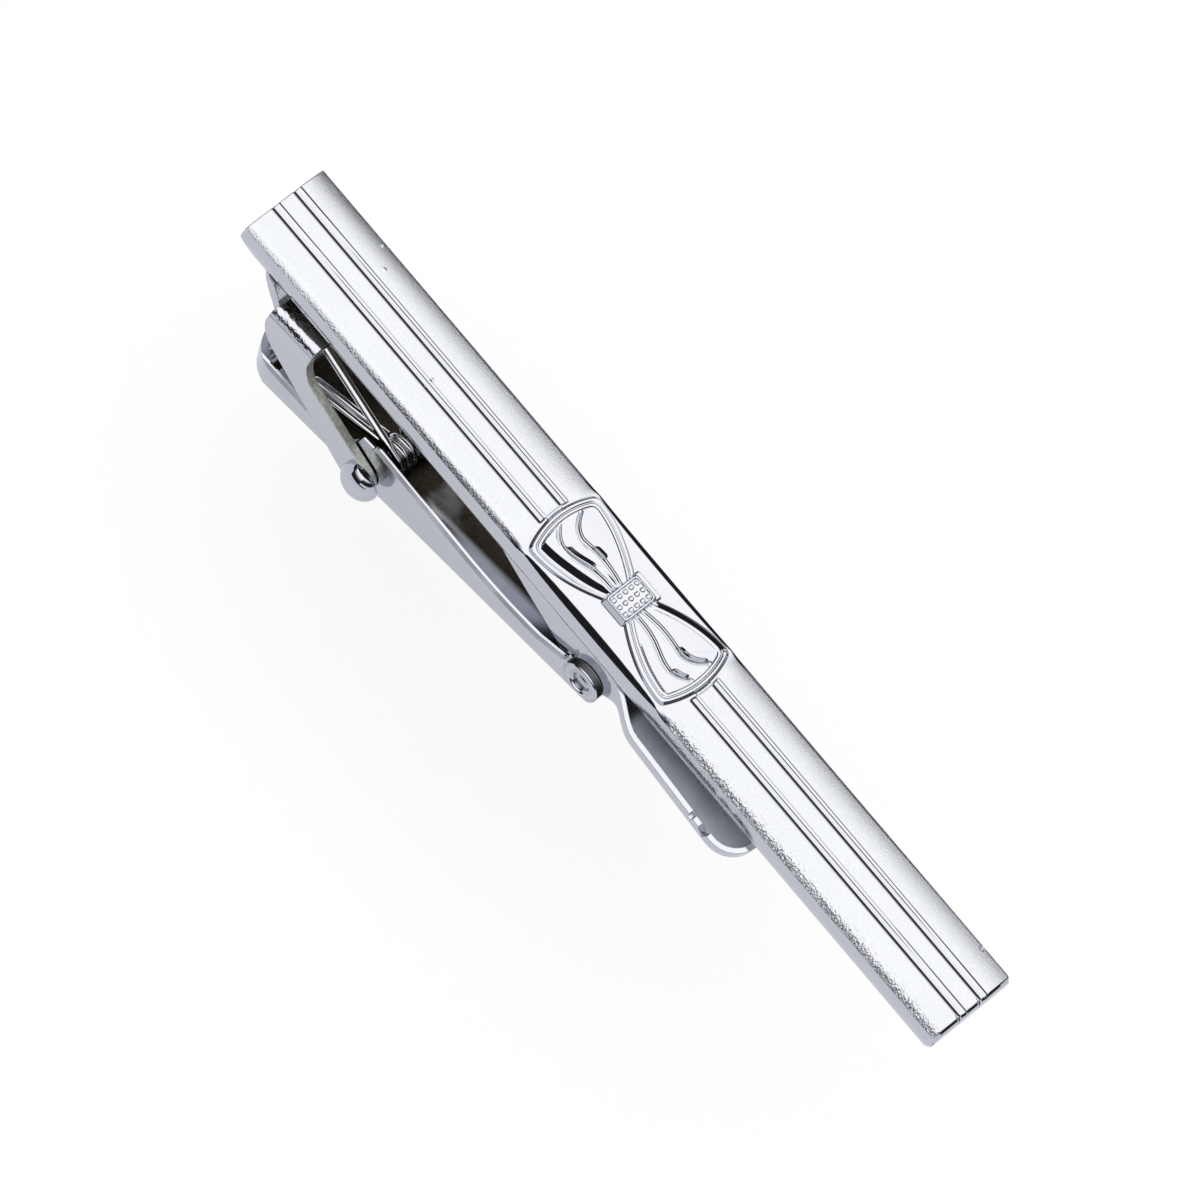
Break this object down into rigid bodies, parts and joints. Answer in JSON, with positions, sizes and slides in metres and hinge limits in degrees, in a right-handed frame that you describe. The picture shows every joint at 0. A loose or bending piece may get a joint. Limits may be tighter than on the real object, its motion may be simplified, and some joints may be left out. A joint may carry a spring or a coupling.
{
  "type": "tie clip",
  "caption": "Slim tie clip: a struck bar with a raised bow, and behind it a spring lever on a folded hinge bracket that carries a rocking jaw.",
  "frame": {"origin": "centre of the bar's flat back, which the tie is gripped against", "axes": "+X along the bar from the bracket end to the free end, +Z out of the decorated face, +Y across the bar"},
  "size_m": [0.058, 0.009, 0.0113],
  "materials": {
    "plated_bar": "struck, satin bands with polished bow, plated",
    "solder": "plated over",
    "plated_bracket": "bright plated sheet",
    "plated_rivet": "bright plated",
    "spring_wire": "bright spring steel",
    "plated_lever": "bright plated sheet",
    "jaw_pin": "plated, slightly dull",
    "plated_jaw": "bright plated sheet"
  },
  "bodies": {
    "bar": {"face_bar": "plated_bar", "solder_joint": "solder", "hinge_bracket": "plated_bracket", "pivot_rivet": "plated_rivet", "torsion_spring": "spring_wire"},
    "lever": {"lever": "plated_lever", "jaw_rivet": "jaw_pin"},
    "jaw": {"swivel_jaw": "plated_jaw"}
  },
  "joints": [
    {"name": "lever_pivot", "type": "hinge", "parent": "bar", "child": "lever", "pos_m": [-0.0151, 0, -0.0063], "axis": [0, 1, 0], "range_deg": [0, 26], "stiffness_Nm_per_rad": 0.04, "springref_deg": -34.38, "deforming": ["torsion_spring"]},
    {"name": "jaw_swivel", "type": "hinge", "parent": "lever", "child": "jaw", "pos_m": [0.00133, 0, -0.0032], "axis": [0, 1, 0], "range_deg": [-5, 1.5]}
  ]
}
